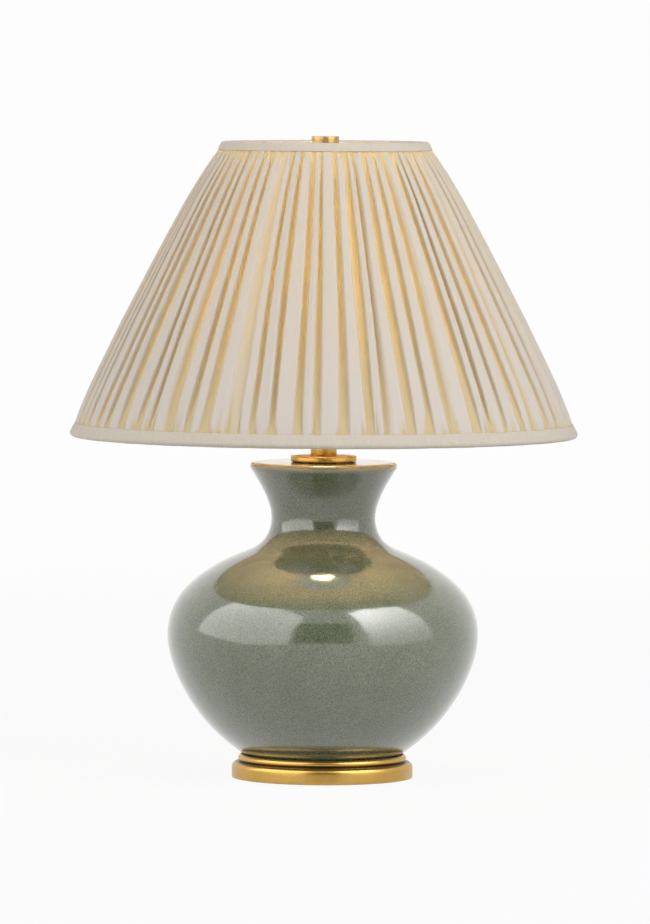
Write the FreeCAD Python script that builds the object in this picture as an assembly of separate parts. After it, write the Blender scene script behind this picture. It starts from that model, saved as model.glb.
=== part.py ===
import FreeCAD, Part
import math
import os
from FreeCAD import Vector

# Table lamp: a glazed jar on a turned brass base, with a wide gathered empire shade on a harp.
# Millimetres. The origin is on the table at the centre of the base, +Z is up and -Y is the front.
# Upright pieces are stacked from the base, and each height comes from the piece below it.

# Clearances
slip_fit = 0.1          # pieces pushed or screwed together
running_gap = 0.2       # pieces that move against each other
bore_slack = 0.2        # holes that the lamp pipe passes through

# Felt pad and brass base
felt_thickness = 2.0
felt_slack = 0.5        # between the felt and the wall round it
base_radius = 91.0
base_height = 24.0
base_wall = 2.0
base_edge_lift = 0.4    # the brass edge stands this far above the table
base_edge_round = 1.2
base_flange_width = 12.0
ring_straight_top = 11.5
shoulder_inset = 5.5
shoulder_rise = 5.1
groove_depth = 2.2
groove_width = 0.6
bead_bulge = 1.2
bead_top_inset = 1.1
seat_depth = 2.5        # from the rim down to the plate that the jar stands on
rim_gap = 2.7           # from the foot of the jar out to the rim

# Cord outlet at the back of the base
outlet_height = 8.2
outlet_bore = 2.6
outlet_body_radius = 3.5
outlet_flange_radius = 4.2
outlet_flange_thickness = 2.0
outlet_lip_radius = 3.8
outlet_lip_length = 2.45
outlet_lip_gap = 0.15   # between the lip and the inside of the wall

# Jar
jar_foot_radius = 77.6
jar_belly_radius = 156.2
jar_neck_radius = 52.3
jar_lip_radius = 73.6
jar_top_radius = 70.0
jar_belly_rise = 124.9  # heights above the foot of the jar
jar_neck_rise = 237.5
jar_lip_rise = 289.5
jar_height = 295.5
jar_wall = 6.0
jar_floor = 7.0
jar_foot_hole = 10.0
jar_top_hole = 8.0
jar_lip_bulge = 1.7     # how far the round over the lip stands out from a straight bevel
jar_lip_swell = 1.1     # and how far it stands up from it
foot_gasket_width = 19.0
foot_gasket_thickness = 1.0

# Check plate and neck tube
cap_gasket_width = 3.5
cap_gasket_thickness = 0.5
check_radius = 33.0
check_thickness = 6.0
check_edge_round = 1.5
check_recess_depth = 3.0
check_rim_width = 4.0
neck_radius = 13.1
neck_wall = 1.2
neck_length = 41.5
neck_cap_thickness = 2.0
spigot_height = 2.5

# Lamp pipe and its fixings
pipe_radius = 5.0
pipe_bore = 3.4
pipe_below_plate = 10.0
pipe_into_socket = 4.0
washer_radius = 19.0
washer_thickness = 1.6
lock_washer_radius = 8.5
lock_washer_thickness = 1.2
nut_across_flats = 14.0
nut_height = 5.0
saddle_nut_height = 3.0

# Harp, its saddle and sleeves
saddle_thickness = 1.5
saddle_width = 15.0
saddle_spread = 28.0    # from the centre to the outside of each ear
saddle_bend = 3.0
ear_width = 5.0
ear_height = 22.5
wire_radius = 2.0
harp_rise = 251.5       # from the underside of the saddle to the top of the harp
harp_leg_length = 39.0
harp_leg_lift = 5.0
harp_half_width = 62.0
harp_widest_rise = 137.0
harp_top_bend = 36.0
harp_top_flat = 6.0
harp_pad_radius = 8.0
harp_pad_thickness = 3.5
sleeve_length = 16.0
sleeve_bore = 3.85
sleeve_wall = 0.9
sleeve_lift = 6.0
stud_pin_radius = 2.2
stud_head_radius = 3.6
stud_head_thickness = 1.3
stud_collar_radius = 8.0
stud_collar_thickness = 2.1
stud_thread_radius = 3.1
stud_thread_length = 14.0

# Socket
socket_collar_radius = 7.2
socket_collar_height = 3.0
socket_cap_radius = 17.3
socket_cap_height = 17.5
socket_cap_floor = 4.5
socket_shelf_rise = 10.5
socket_shell_radius = 16.5
socket_shell_length = 48.0
thin_wall = 0.6
liner_gap = 0.2
liner_thickness = 0.8
switch_body_radius = 14.6
switch_body_height = 20.0
screw_shell_bore = 13.3
screw_shell_wall = 0.5
screw_shell_length = 25.0
contact_radius = 4.5
contact_height = 2.4
terminal_flat = 12.2
terminal_recess_width = 12.0
terminal_recess_height = 10.0
terminal_head_radius = 2.6
terminal_head_height = 1.9
switch_rise = 11.0      # height of the switch stem above the bottom of the switch body
stem_radius = 1.7
stem_reach = 22.0
knob_radius = 5.0
knob_length = 13.0
knob_grip_thickness = 4.4
knob_start = 19.0

# Bulb
bulb_tip_radius = 4.5
bulb_tip_height = 1.3
bulb_insulator_height = 3.5
bulb_cap_radius = 13.0
bulb_cap_height = 20.0
bulb_cap_chamfer = 2.5
bulb_seat_depth = 6.0   # how deep the glass sits in the cap
bulb_neck_radius = 12.4
bulb_radius = 30.0
bulb_length = 110.0
bulb_wall = 0.9
bulb_post_radius = 3.0
bulb_post_height = 34.0
bulb_coil_height = 12.0
bulb_coil_radius = 6.0

# Shade: the slant line joins the middles of the two ring wires
shade_top_radius = 101.1
shade_bottom_radius = 251.1
shade_height = 289.4
ring_wire_radius = 1.5
spider_drop = 13.4
spider_wire_radius = 1.8
spider_washer_radius = 12.0
spider_washer_thickness = 2.0
spider_hole_slack = 0.3
spider_arm_count = 3
spider_flat_reach = 86.0
rib_count = 12
rib_radius = 1.2
lining_thickness = 0.6
lining_seam = 1.0       # gap between neighbouring gores
lining_top_gap = 5.0
cloth_thickness = 0.8
fold_count = 68
fold_crest_share = 0.62
tape_thickness = 0.8
tape_top_height = 7.0
tape_bottom_height = 9.8
tape_inner_height = 6.0

tape_top_turn = 110.0   # how far over the top ring the upper tape goes, in degrees
pressed_fold = 0.4      # depth of the folds under the tapes

# Depth of the folds between the tapes: (share of the free stretch, depth)
fold_depths = [(0.12, 5.6), (0.46, 7.7), (0.79, 6.3), (0.95, 3.2)]

# Finial
finial_stem_radius = 7.0
finial_stem_height = 12.0
finial_cap_radius = 13.8
finial_cap_height = 9.0
finial_edge_round = 0.8
finial_bore_depth = 14.5

# Heights that follow from the stack
plate_top = base_height - seat_depth
plate_bottom = plate_top - base_wall
jar_bottom = plate_top + foot_gasket_thickness
jar_top = jar_bottom + jar_height
check_bottom = jar_top + cap_gasket_thickness
neck_bottom = check_bottom + check_thickness
neck_top = neck_bottom + neck_length
saddle_bottom = neck_top + neck_cap_thickness
saddle_top = saddle_bottom + saddle_thickness
socket_bottom = saddle_top + saddle_nut_height
shelf_height = socket_bottom + socket_shelf_rise
body_top = shelf_height + switch_body_height
contact_top = body_top + contact_height
bulb_bottom = contact_top + running_gap
harp_top = saddle_bottom + harp_rise
harp_crown_drop = wire_radius + slip_fit        # from the top of the pad to the middle of the wire
collar_bottom = harp_top + running_gap
collar_top = collar_bottom + stud_collar_thickness
spider_washer_bottom = collar_top + running_gap
spider_washer_top = spider_washer_bottom + spider_washer_thickness
spider_wire_height = (spider_washer_bottom + spider_washer_top) / 2
finial_bottom = spider_washer_top + running_gap
ring_top_height = spider_wire_height + spider_drop
ring_bottom_height = ring_top_height - shade_height
pipe_hole = pipe_radius + bore_slack
wire_centre = saddle_spread + slip_fit + wire_radius
sleeve_centre = saddle_spread + slip_fit + wire_radius - (saddle_thickness + slip_fit) / 2

# Slant line of the shade
slant_length = math.hypot(shade_height, shade_bottom_radius - shade_top_radius)
slant_sine = (shade_bottom_radius - shade_top_radius) / slant_length
slant_cosine = shade_height / slant_length
cloth_inside = ring_wire_radius + slip_fit
cloth_outside = cloth_inside + cloth_thickness
lining_outside = -ring_wire_radius - slip_fit
lining_inside = lining_outside - lining_thickness
tape_outside = cloth_outside + pressed_fold + slip_fit + tape_thickness
tape_inside = lining_inside - slip_fit - tape_thickness
tape_slope = tape_outside * slant_sine / slant_cosine  # the tape's square edge against a level line

up = Vector(0, 0, 1)
out_x = Vector(1, 0, 0)
out_y = Vector(0, 1, 0)
origin = Vector(0, 0, 0)


def outline(start, steps):
    # Edges in the XZ plane: a step (r, z) is a line, and a step (middle, end) is an arc.
    edges = []
    here = Vector(start[0], 0, start[1])
    for step in steps:
        if isinstance(step[0], tuple):
            middle = Vector(step[0][0], 0, step[0][1])
            end = Vector(step[1][0], 0, step[1][1])
            edges.append(Part.Arc(here, middle, end).toShape())
        else:
            end = Vector(step[0], 0, step[1])
            edges.append(Part.makeLine(here, end))
        here = end
    return edges


def closed_face(edges):
    first = edges[0].firstVertex(True).Point
    last = edges[-1].lastVertex(True).Point
    if first.distanceToPoint(last) > 1e-6:
        edges = edges + [Part.makeLine(last, first)]
    return Part.Face(Part.Wire(edges))


def turned(start, *steps):
    # A turned piece: the outline goes once round the upright axis.
    return closed_face(outline(start, steps)).revolve(origin, up, 360)


def cylinder(radius, bottom, top):
    return Part.makeCylinder(radius, top - bottom, Vector(0, 0, bottom), up)


def tube(outer, inner, bottom, top):
    return cylinder(outer, bottom, top).cut(cylinder(inner, bottom - 1, top + 1))


def hexagon(across_flats, bore, bottom, top):
    corner = across_flats / math.sqrt(3)
    points = []
    for k in range(7):
        angle = math.radians(60 * k + 30)
        points.append(Vector(corner * math.cos(angle), corner * math.sin(angle), bottom))
    block = Part.Face(Part.makePolygon(points)).extrude(up * (top - bottom))
    return block.cut(cylinder(bore, bottom - 1, top + 1))


def quarter(start, end, bulge_first_radius):
    # Middle point of a quarter round between two points; the round leaves `start` along Z when
    # bulge_first_radius is True, and along R when it is False.
    share = 1 - math.sqrt(0.5)
    along = 1 - share
    if bulge_first_radius:
        return (start[0] + (end[0] - start[0]) * share, start[1] + (end[1] - start[1]) * along)
    return (start[0] + (end[0] - start[0]) * along, start[1] + (end[1] - start[1]) * share)


# ---------------------------------------------------------------- base

def make_felt_pad():
    return cylinder(base_radius - base_wall - felt_slack, 0, felt_thickness)


def make_base_cup():
    inner = base_radius - base_wall
    flange_inner = inner - base_flange_width
    shoulder_in = base_radius - shoulder_inset
    shoulder_top = ring_straight_top + shoulder_rise
    groove_in = shoulder_in - groove_depth
    groove_top = shoulder_top + groove_width
    bead_middle = (groove_top + base_height) / 2
    bead_top = groove_in - bead_top_inset
    rim_inner = jar_foot_radius + rim_gap
    under_shoulder = shoulder_top - base_wall
    under_bead = groove_in - base_wall
    low_edge = (base_radius - base_edge_round, base_edge_lift)
    high_edge = (base_radius, base_edge_lift + base_edge_round)
    shoulder_low = (base_radius, ring_straight_top)
    shoulder_high = (shoulder_in, shoulder_top)
    inner_high = (shoulder_in - base_wall, under_shoulder)
    inner_low = (inner, ring_straight_top)
    rim_low = (rim_inner, base_height - bead_top_inset)
    cup = turned(
        (flange_inner, felt_thickness),
        (inner, felt_thickness),
        (inner, base_edge_lift),
        low_edge,
        (quarter(low_edge, high_edge, False), high_edge),
        shoulder_low,
        (quarter(shoulder_low, shoulder_high, True), shoulder_high),
        (groove_in, shoulder_top),
        (groove_in, groove_top),
        ((groove_in + bead_bulge, bead_middle), (bead_top, base_height)),
        (quarter((bead_top, base_height), rim_low, False), rim_low),
        (rim_inner, plate_top),
        (pipe_hole, plate_top),
        (pipe_hole, plate_bottom),
        (under_bead, plate_bottom),
        (under_bead, under_shoulder),
        inner_high,
        (quarter(inner_high, inner_low, False), inner_low),
        (inner, felt_thickness + base_wall),
        (flange_inner, felt_thickness + base_wall))
    hole = Part.makeCylinder(outlet_body_radius + slip_fit, 3 * base_wall,
                             Vector(0, base_radius - 2 * base_wall, outlet_height), out_y)
    return cup.cut(hole)


def make_cord_bushing():
    # Flanged outside and lipped inside, pressed through the back wall.
    lip_end = base_radius - base_wall - outlet_lip_gap
    start = lip_end - outlet_lip_length
    body = Part.makeCylinder(outlet_body_radius, base_radius - start, Vector(0, start, outlet_height), out_y)
    lip = Part.makeCylinder(outlet_lip_radius, outlet_lip_length, Vector(0, start, outlet_height), out_y)
    flange = Part.makeCylinder(outlet_flange_radius, outlet_flange_thickness,
                               Vector(0, base_radius, outlet_height), out_y)
    bore = Part.makeCylinder(outlet_bore, base_radius, Vector(0, start - 1, outlet_height), out_y)
    return body.fuse(lip).fuse(flange).cut(bore)


def make_base_washer():
    return tube(washer_radius, pipe_hole, plate_bottom - washer_thickness, plate_bottom)


def make_base_lock_washer():
    top = plate_bottom - washer_thickness
    return tube(lock_washer_radius, pipe_hole, top - lock_washer_thickness, top)


def make_base_nut():
    top = plate_bottom - washer_thickness - lock_washer_thickness
    return hexagon(nut_across_flats, pipe_radius + slip_fit, top - nut_height, top)


def make_lamp_pipe():
    return tube(pipe_radius, pipe_bore, plate_bottom - pipe_below_plate, socket_bottom + pipe_into_socket)


# ---------------------------------------------------------------- jar

def jar_curve():
    # Foot, belly, neck and lip are set; the points between them are shares of each stretch.
    foot = (jar_foot_radius, jar_bottom)
    belly = (jar_belly_radius, jar_bottom + jar_belly_rise)
    neck = (jar_neck_radius, jar_bottom + jar_neck_rise)
    lip = (jar_lip_radius, jar_bottom + jar_lip_rise)
    stretches = [
        (foot, belly, [(0, 0), (0.354, 0.178), (0.679, 0.420), (0.915, 0.709)]),
        (belly, neck, [(0, 0), (0.079, 0.268), (0.363, 0.536), (0.693, 0.697), (0.912, 0.805)]),
        (neck, lip, [(0, 0), (0.188, 0.390), (0.601, 0.738), (1, 1)])]
    points = []
    for start, end, shares in stretches:
        for across, along in shares:
            r = start[0] + (end[0] - start[0]) * across
            z = start[1] + (end[1] - start[1]) * along
            points.append(Vector(r, 0, z))
    curve = Part.BSplineCurve()
    curve.interpolate(points)
    return curve


def make_jar():
    curve = jar_curve()
    lip = (jar_lip_radius, jar_bottom + jar_lip_rise)
    top_edge = (jar_top_radius, jar_top)
    lip_middle = ((lip[0] + top_edge[0]) / 2 + jar_lip_bulge, (lip[1] + top_edge[1]) / 2 + jar_lip_swell)
    outside = outline((jar_foot_hole, jar_bottom), [(jar_foot_radius, jar_bottom)])
    outside.append(curve.toShape())
    outside += outline(lip, [(lip_middle, top_edge), (jar_top_hole, jar_top)])
    outside.append(Part.makeLine(Vector(jar_top_hole, 0, jar_top), Vector(jar_foot_hole, 0, jar_bottom)))
    body = closed_face(outside).revolve(origin, up, 360)
    # The hollow keeps one wall's thickness from the outside, in straight steps.
    hollow = []
    for share in (0.05, 0.2, 0.36, 0.5, 0.63, 0.73, 0.78, 0.82, 0.87, 0.94):
        at = curve.FirstParameter + (curve.LastParameter - curve.FirstParameter) * share
        point = curve.value(at)
        along = curve.tangent(at)[0]
        hollow.append((point.x - along.z * jar_wall, point.z + along.x * jar_wall))
    floor = jar_bottom + jar_floor
    ceiling = jar_top - jar_wall
    path = [(hollow[0][0] - jar_floor, floor)] + hollow + [(hollow[-1][0], ceiling), (0, ceiling)]
    inside = turned((0, floor), *path)
    bottom_hole = cylinder(jar_foot_hole, jar_bottom - 1, floor + 1)
    top_hole = cylinder(jar_top_hole, ceiling - 1, jar_top + 1)
    return body.cut(inside.fuse([bottom_hole, top_hole]))


def make_jar_foot_gasket():
    return tube(jar_foot_radius, jar_foot_radius - foot_gasket_width, plate_top, jar_bottom)


def make_cap_gasket():
    outer = check_radius - check_edge_round
    return tube(outer, outer - cap_gasket_width, jar_top, check_bottom)


# ---------------------------------------------------------------- neck

def make_check_plate():
    spigot = neck_radius - neck_wall - slip_fit
    low = (check_radius - check_edge_round, check_bottom)
    low_side = (check_radius, check_bottom + check_edge_round)
    high_side = (check_radius, neck_bottom - check_edge_round)
    high = (check_radius - check_edge_round, neck_bottom)
    return turned(
        (check_radius - check_rim_width, check_bottom),
        low,
        (quarter(low, low_side, False), low_side),
        high_side,
        (quarter(high_side, high, True), high),
        (spigot, neck_bottom),
        (spigot, neck_bottom + spigot_height),
        (pipe_hole, neck_bottom + spigot_height),
        (pipe_hole, check_bottom + check_recess_depth),
        (check_radius - check_rim_width, check_bottom + check_recess_depth))


def make_neck_tube():
    return tube(neck_radius, neck_radius - neck_wall, neck_bottom, neck_top)


def make_neck_cap():
    spigot = neck_radius - neck_wall - slip_fit
    cap = tube(neck_radius, pipe_hole, neck_top, saddle_bottom)
    return cap.fuse(tube(spigot, pipe_hole, neck_top - spigot_height, neck_top))


# ---------------------------------------------------------------- harp

def make_harp_saddle():
    # A strip under the socket with both ends bent up into ears; the ears are narrower than the strip.
    inner = saddle_spread - saddle_thickness
    ear_top = saddle_top + ear_height
    right = outline((0, saddle_bottom), [
        (saddle_spread - saddle_bend, saddle_bottom),
        (quarter((saddle_spread - saddle_bend, saddle_bottom), (saddle_spread, saddle_bottom + saddle_bend),
                 False), (saddle_spread, saddle_bottom + saddle_bend)),
        (saddle_spread, ear_top),
        (inner, ear_top),
        (inner, saddle_bottom + saddle_bend),
        (quarter((inner, saddle_bottom + saddle_bend), (saddle_spread - saddle_bend, saddle_top), True),
         (saddle_spread - saddle_bend, saddle_top)),
        (0, saddle_top)])
    half = closed_face(right).extrude(out_y * saddle_width)
    half.translate(Vector(0, -saddle_width / 2, 0))
    strip_end = saddle_spread - saddle_bend
    waste = (saddle_width - ear_width) / 2
    for side in (-1, 1):
        start = ear_width / 2 if side > 0 else -ear_width / 2 - waste
        half = half.cut(Part.makeBox(2 * saddle_bend, waste + 0.01, ear_height + 2 * saddle_bend,
                                     Vector(strip_end, start, saddle_bottom - 0.01)))
    other = half.mirror(origin, out_x)
    return half.fuse(other).cut(cylinder(pipe_hole, saddle_bottom - 1, saddle_top + 1)).removeSplitter()


def make_saddle_nut():
    return hexagon(nut_across_flats, pipe_radius + slip_fit, saddle_top, socket_bottom)


def s_bend(start, end):
    # Two equal arcs that leave and arrive upright: their middle points and their meeting point.
    dx = end[0] - start[0]
    dz = end[1] - start[1]
    turn = 2 * math.atan2(dx, dz)
    radius = dz / (2 * math.sin(turn))
    half = turn / 2
    lean_x = radius * (1 - math.cos(half))
    lean_z = radius * math.sin(half)
    meet = ((start[0] + end[0]) / 2, (start[1] + end[1]) / 2)
    first = (start[0] + lean_x, start[1] + lean_z)
    second = (end[0] - lean_x, end[1] - lean_z)
    return first, meet, second


def harp_half_path():
    leg_bottom = (wire_centre, saddle_top + harp_leg_lift)
    leg_top = (wire_centre, leg_bottom[1] + harp_leg_length)
    widest = (harp_half_width, saddle_bottom + harp_widest_rise)
    crown = (harp_top_flat, harp_top - harp_crown_drop)
    first, meet, second = s_bend(leg_top, widest)
    # A large arc from the widest point runs into the small arc at the top.
    across = widest[0] - crown[0]
    rise = crown[1] - widest[1]
    small = harp_top_bend
    large = (across ** 2 + rise ** 2 - 2 * rise * small) / (2 * (across - small))
    turn = math.atan2(rise - small, large - across)
    centre = (widest[0] - large, widest[1])
    join = (centre[0] + large * math.cos(turn), centre[1] + large * math.sin(turn))
    large_middle = (centre[0] + large * math.cos(turn / 2), centre[1] + large * math.sin(turn / 2))
    small_turn = (turn + math.pi / 2) / 2
    small_middle = (crown[0] + small * math.cos(small_turn), crown[1] - small + small * math.sin(small_turn))
    return leg_bottom, [leg_top, (first, meet), (second, widest), (large_middle, join),
                        (small_middle, crown), (0, crown[1])]


def make_harp():
    start, steps = harp_half_path()
    route = Part.Wire(outline(start, steps))
    section = Part.Wire(Part.makeCircle(wire_radius, Vector(start[0], 0, start[1]), up))
    half = route.makePipeShell([section], True, True)
    other = half.mirror(origin, out_x)
    pad = cylinder(harp_pad_radius, harp_top - harp_pad_thickness, harp_top)
    hole = cylinder(stud_pin_radius + running_gap, harp_top - harp_top_bend, collar_bottom)
    return half.fuse([other, pad]).cut(hole)


def make_harp_sleeve(side):
    bottom = saddle_top + sleeve_lift
    sleeve = tube(sleeve_bore + sleeve_wall, sleeve_bore, bottom, bottom + sleeve_length)
    sleeve.translate(Vector(side * sleeve_centre, 0, 0))
    return sleeve


def make_harp_stud():
    # Riveted loosely through the pad, so that the shade can be turned.
    pad_bottom = harp_top - harp_pad_thickness
    head_top = min(pad_bottom, harp_top - harp_crown_drop - wire_radius) - running_gap
    head_bottom = head_top - stud_head_thickness
    thread_top = collar_top + stud_thread_length
    return turned(
        (0, head_bottom),
        (stud_head_radius, head_bottom),
        (stud_head_radius, head_top),
        (stud_pin_radius, head_top),
        (stud_pin_radius, collar_bottom),
        (stud_collar_radius, collar_bottom),
        (stud_collar_radius, collar_top),
        (stud_thread_radius, collar_top),
        (stud_thread_radius, thread_top - 0.6),
        (stud_thread_radius - 0.6, thread_top),
        (0, thread_top))


# ---------------------------------------------------------------- socket

def make_socket_cap():
    collar_top_height = socket_bottom + socket_collar_height
    rim_bottom = shelf_height + thin_wall
    rim_top = socket_bottom + socket_cap_height
    shell_bore = socket_shell_radius + slip_fit
    collar = (socket_collar_radius, collar_top_height)
    rim = (socket_cap_radius, rim_bottom)
    floor = socket_bottom + socket_cap_floor
    return turned(
        (pipe_radius + slip_fit, socket_bottom),
        (socket_collar_radius, socket_bottom),
        collar,
        (quarter(collar, rim, False), rim),
        (socket_cap_radius, rim_top),
        (shell_bore, rim_top),
        (shell_bore, shelf_height),
        (switch_body_radius - 2, shelf_height),
        (switch_body_radius - 5, floor),
        (pipe_radius + slip_fit, floor))


def make_socket_shell():
    shell = tube(socket_shell_radius, socket_shell_radius - thin_wall, shelf_height,
                 shelf_height + socket_shell_length)
    slot = Part.makeCylinder(stem_radius + 3 * running_gap, 2 * socket_shell_radius,
                             Vector(0, 0, shelf_height + switch_rise), -out_y)
    return shell.cut(slot)


def make_socket_liner():
    outer = socket_shell_radius - thin_wall - liner_gap
    liner = tube(outer, outer - liner_thickness, shelf_height, shelf_height + socket_shell_length - 1.5)
    slot = Part.makeCylinder(stem_radius + 3 * running_gap, 2 * socket_shell_radius,
                             Vector(0, 0, shelf_height + switch_rise), -out_y)
    return liner.cut(slot)


def make_switch_body():
    body = cylinder(switch_body_radius, shelf_height, body_top)
    for side in (-1, 1):
        corner = terminal_flat if side > 0 else -terminal_flat - switch_body_radius
        recess_bottom = shelf_height + switch_rise - terminal_recess_height / 2
        body = body.cut(Part.makeBox(switch_body_radius, terminal_recess_width, terminal_recess_height,
                                     Vector(corner, -terminal_recess_width / 2, recess_bottom)))
    hole = Part.makeCylinder(stem_radius + running_gap, 2 * switch_body_radius,
                             Vector(0, switch_body_radius / 2, shelf_height + switch_rise), -out_y)
    return body.cut(hole)


def make_terminal_screw(side):
    start = Vector(side * terminal_flat, 0, shelf_height + switch_rise)
    head = Part.makeCylinder(terminal_head_radius, terminal_head_height, start, out_x * side)
    slot = Part.makeBox(0.8, 2 * terminal_head_radius + 1, 0.7)
    slot.translate(start + Vector(side * (terminal_head_height - 0.35) - 0.4, -terminal_head_radius - 0.5, -0.35))
    return head.cut(slot)


def make_screw_shell():
    outer = screw_shell_bore + screw_shell_wall
    wall = tube(outer, screw_shell_bore, body_top, body_top + screw_shell_length)
    return wall.fuse(tube(outer, contact_radius + 1.5, body_top, body_top + screw_shell_wall))


def make_socket_contact():
    return cylinder(contact_radius, body_top, contact_top)


def make_switch_knob():
    # A round stem from the switch body, with a flat-sided grip to turn.
    height = shelf_height + switch_rise
    stem = Part.makeCylinder(stem_radius, stem_reach + switch_body_radius / 4,
                             Vector(0, switch_body_radius / 4, height), -out_y)
    knob = Part.makeCylinder(knob_radius, knob_length, Vector(0, -knob_start, height), -out_y)
    for side in (-1, 1):
        waste = Part.makeBox(knob_radius, knob_length - 4, 2 * knob_radius + 2)
        corner = knob_grip_thickness / 2 if side > 0 else -knob_grip_thickness / 2 - knob_radius
        waste.translate(Vector(corner, -knob_start - knob_length, height - knob_radius - 1))
        knob = knob.cut(waste)
    return stem.fuse(knob)


# ---------------------------------------------------------------- bulb

def bulb_heights():
    insulator_bottom = bulb_bottom + bulb_tip_height
    cap_bottom = insulator_bottom + bulb_insulator_height
    cap_top = cap_bottom + bulb_cap_height
    return insulator_bottom, cap_bottom, cap_top


def make_bulb_tip():
    insulator_bottom = bulb_heights()[0]
    return turned(
        (0, bulb_bottom),
        (bulb_tip_radius - 1.5, bulb_bottom),
        ((bulb_tip_radius - 0.5, bulb_bottom + 0.5), (bulb_tip_radius, insulator_bottom)),
        (0, insulator_bottom))


def make_bulb_insulator():
    insulator_bottom, cap_bottom, cap_top = bulb_heights()
    return turned(
        (0, insulator_bottom),
        (bulb_tip_radius + 1, insulator_bottom),
        (bulb_cap_radius - 2, cap_bottom),
        (0, cap_bottom))


def make_bulb_cap():
    insulator_bottom, cap_bottom, cap_top = bulb_heights()
    return turned(
        (0, cap_bottom),
        (bulb_cap_radius - 2, cap_bottom),
        (bulb_cap_radius, cap_bottom + bulb_cap_chamfer),
        (bulb_cap_radius, cap_top),
        (bulb_neck_radius + slip_fit, cap_top),
        (bulb_neck_radius + slip_fit, cap_top - bulb_seat_depth),
        (0, cap_top - bulb_seat_depth))


def make_bulb_glass():
    cap_top = bulb_heights()[2]
    bottom = cap_top - bulb_seat_depth
    top = bulb_bottom + bulb_length
    centre = top - bulb_radius
    first, meet, second = s_bend((bulb_neck_radius, cap_top), (bulb_radius, centre))
    slant = bulb_radius * math.sqrt(0.5)
    outside = outline((0, bottom), [
        (bulb_neck_radius, bottom),
        (bulb_neck_radius, cap_top),
        (first, meet),
        (second, (bulb_radius, centre)),
        ((slant, centre + slant), (0, top))])
    body = closed_face(outside).revolve(origin, up, 360)
    inner_neck = bulb_neck_radius - bulb_wall
    inner_ball = bulb_radius - bulb_wall
    first, meet, second = s_bend((inner_neck, cap_top), (inner_ball, centre))
    slant = inner_ball * math.sqrt(0.5)
    inside = outline((0, bottom + bulb_wall), [
        (inner_neck, bottom + bulb_wall),
        (inner_neck, cap_top),
        (first, meet),
        (second, (inner_ball, centre)),
        ((slant, centre + slant), (0, top - bulb_wall))])
    return body.cut(closed_face(inside).revolve(origin, up, 360))


def make_bulb_filament():
    # A glass post with a wound filament across its top.
    bottom = bulb_heights()[2] - bulb_seat_depth + bulb_wall
    top = bottom + bulb_post_height
    return turned(
        (0, bottom),
        (bulb_post_radius, bottom),
        (bulb_post_radius / 2, top),
        (bulb_coil_radius, top),
        (bulb_coil_radius, top + bulb_coil_height),
        (0, top + bulb_coil_height))


# ---------------------------------------------------------------- shade

def slant_point(down, offset):
    # (radius, height) at a distance down the slant and a distance out from it.
    radius = shade_top_radius + down * slant_sine + offset * slant_cosine
    height = ring_top_height - down * slant_cosine + offset * slant_sine
    return (radius, height)


def make_shade_spider():
    hole = stud_thread_radius + spider_hole_slack
    washer = cylinder(spider_washer_radius, spider_washer_bottom, spider_washer_top)
    arms = []
    end = Vector(shade_top_radius - ring_wire_radius - slip_fit, 0, ring_top_height - 0.4)
    bend = Vector(spider_flat_reach, 0, spider_wire_height)
    start = Vector(spider_washer_radius - 3, 0, spider_wire_height)
    rise = end - bend
    for k in range(spider_arm_count):
        angle = 360.0 / spider_arm_count * k + 30
        flat = Part.makeCylinder(spider_wire_radius, bend.x - start.x, start, out_x)
        slope = Part.makeCylinder(spider_wire_radius, rise.Length, bend, rise)
        joint = Part.makeSphere(spider_wire_radius, bend)
        arm = flat.fuse([slope, joint])
        arm.rotate(origin, up, angle)
        arms.append(arm)
    return washer.fuse(arms).cut(cylinder(hole, spider_washer_bottom - 5, spider_washer_top + 5))


def wire_ring(radius, height):
    # Round wire, drawn with six flats because it lies hidden in the tape.
    corners = []
    for k in range(6):
        angle = math.radians(60 * k + 30)
        corners.append((radius + ring_wire_radius * math.cos(angle), height + ring_wire_radius * math.sin(angle)))
    return turned(corners[0], *corners[1:])


def make_shade_top_ring():
    return wire_ring(shade_top_radius, ring_top_height)


def make_shade_bottom_ring():
    return wire_ring(shade_bottom_radius, ring_bottom_height)


def make_shade_ribs():
    first = slant_point(ring_wire_radius, 0)
    last = slant_point(slant_length - ring_wire_radius, 0)
    start = Vector(first[0], 0, first[1])
    along = Vector(last[0], 0, last[1]) - start
    ribs = []
    for k in range(rib_count):
        rib = Part.makeCylinder(rib_radius, along.Length, start, along)
        rib.rotate(origin, up, 360.0 / rib_count * (k + 0.5))
        ribs.append(rib)
    return Part.makeCompound(ribs)


def make_shade_lining():
    # One gore of sheet between each pair of ribs, inside the wires.
    top = lining_top_gap
    bottom = slant_length
    corners = [slant_point(top, lining_outside), slant_point(bottom, lining_outside),
               slant_point(bottom, lining_inside), slant_point(top, lining_inside)]
    width = 360.0 / rib_count
    seam = math.degrees(lining_seam / shade_bottom_radius)
    face = closed_face(outline(corners[0], corners[1:]))
    gores = []
    for k in range(rib_count):
        gore = face.revolve(origin, up, width - seam)
        gore.rotate(origin, up, width * (k + 0.5) + seam / 2)
        gores.append(gore)
    return Part.makeCompound(gores)


def over_ring(ring_down, toward, radius, turn):
    # A point on the tape's round over the ring wire, `turn` degrees from its outer face.
    middle = (tape_outside + tape_inside) / 2
    angle = math.radians(turn)
    return slant_point(ring_down - toward * radius * math.sin(angle), middle + radius * math.cos(angle))


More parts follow.
